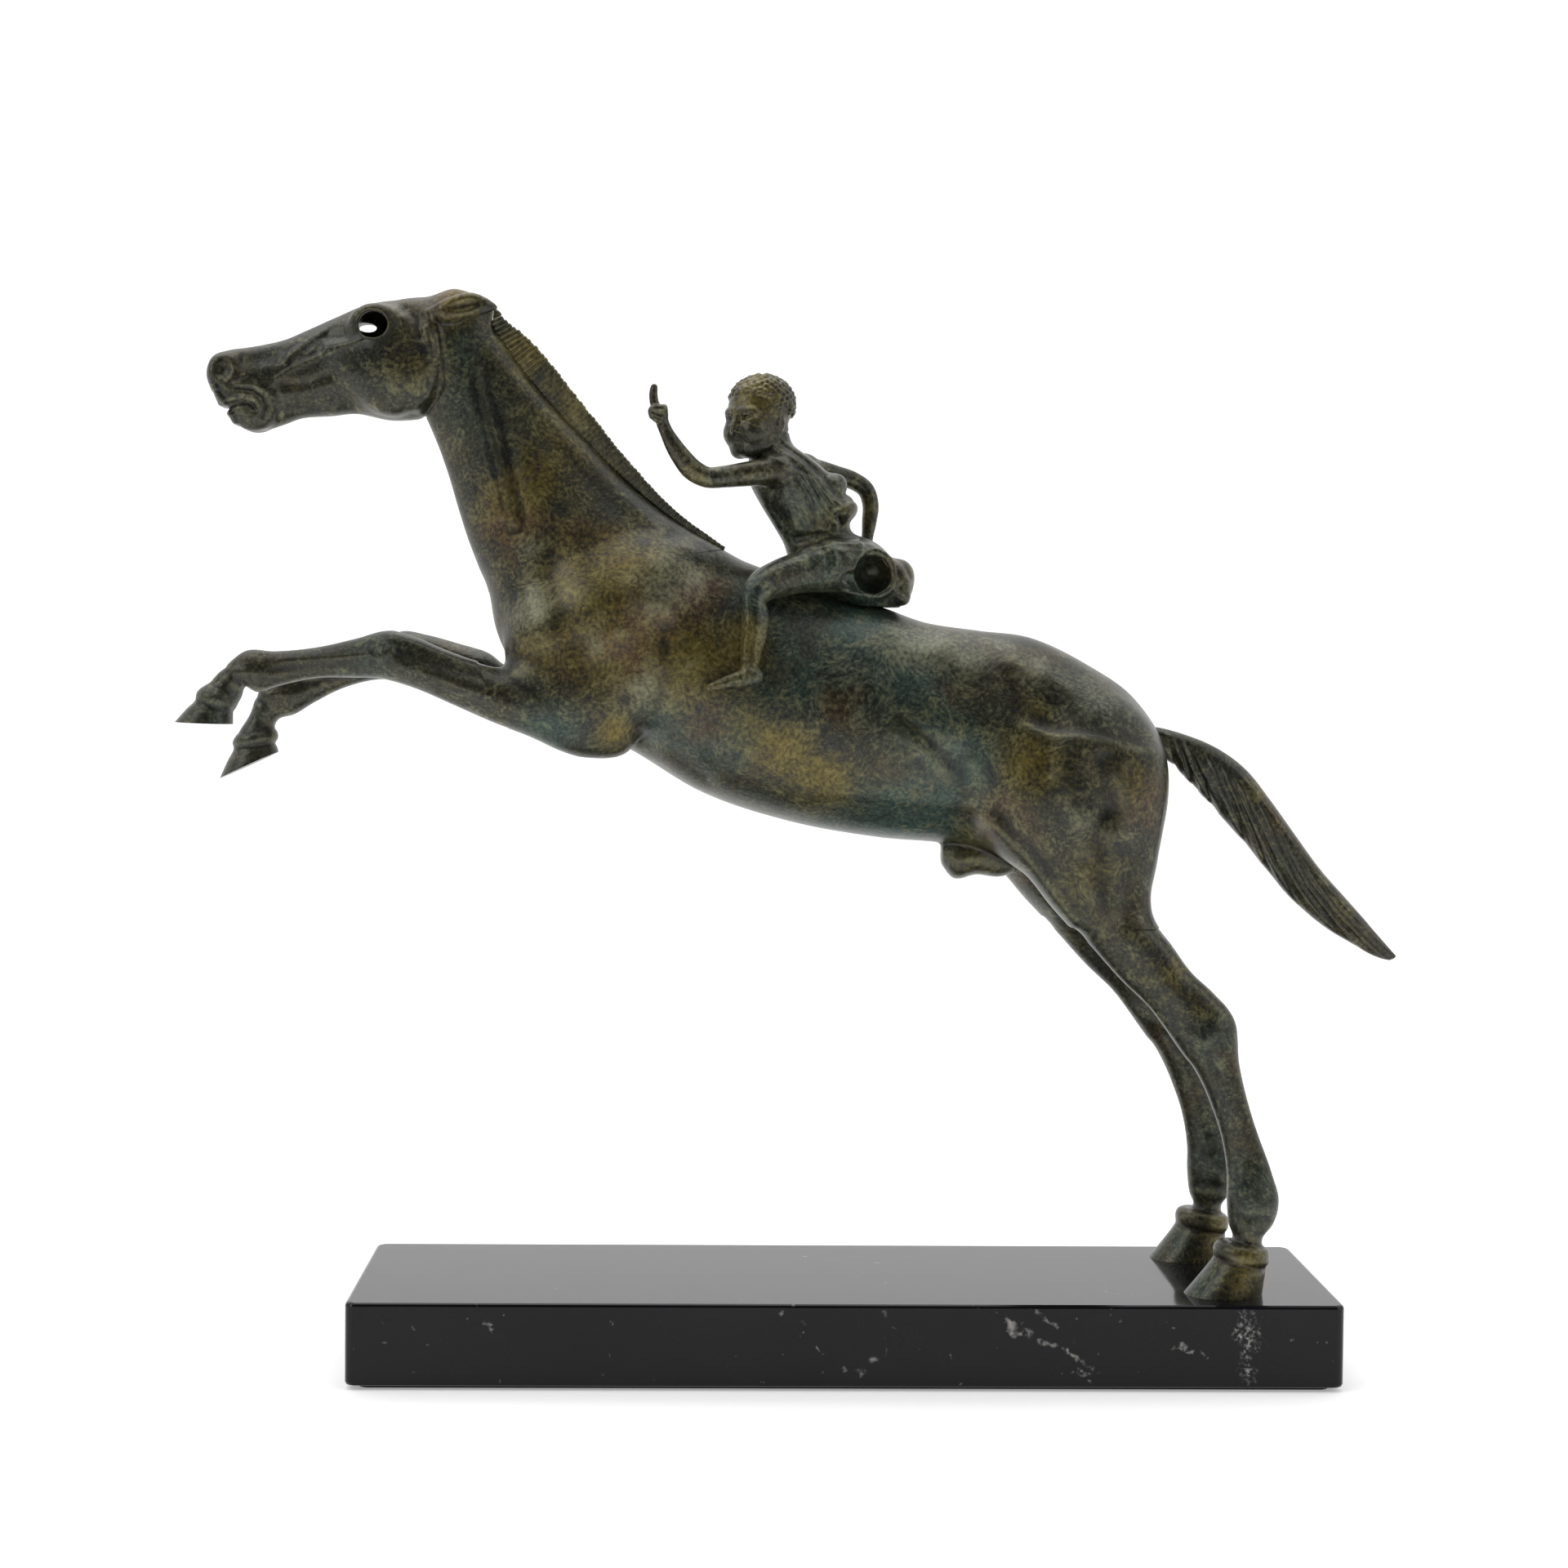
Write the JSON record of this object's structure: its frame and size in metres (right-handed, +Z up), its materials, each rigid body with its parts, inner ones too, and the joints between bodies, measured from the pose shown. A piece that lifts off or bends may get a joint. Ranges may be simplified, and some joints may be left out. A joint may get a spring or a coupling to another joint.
{
  "type": "bronze horse statue",
  "caption": "Bronze statue of a leaping horse with a small rider, its hind hooves studded to a rectangular black marble plinth with a felt underside.",
  "frame": {"origin": "centre of the felt pad's underside, the face that rests on a table", "axes": "+Z up, the horse faces -X, its left side faces -Y"},
  "size_m": [0.3021, 0.07, 0.2653],
  "materials": {
    "bronze": "dark green-brown patina, waxed",
    "black_marble": "polished",
    "felt": "wool felt",
    "steel": "zinc plated"
  },
  "bodies": {
    "root": {"felt_pad": "felt", "marble_plinth": "black_marble", "hoof_studs": "steel", "hoof_washers": "steel", "hoof_nuts": "steel", "horse_trunk": "bronze", "horse_neck": "bronze", "horse_head": "bronze", "mane": "bronze", "near_foreleg": "bronze", "off_foreleg": "bronze", "near_hind_leg": "bronze", "off_hind_leg": "bronze", "tail": "bronze", "joint_dowels": "steel", "rider_torso": "bronze", "rider_head": "bronze", "rider_left_arm": "bronze", "rider_right_arm": "bronze", "rider_left_leg": "bronze", "rider_right_leg": "bronze"}
  },
  "joints": []
}
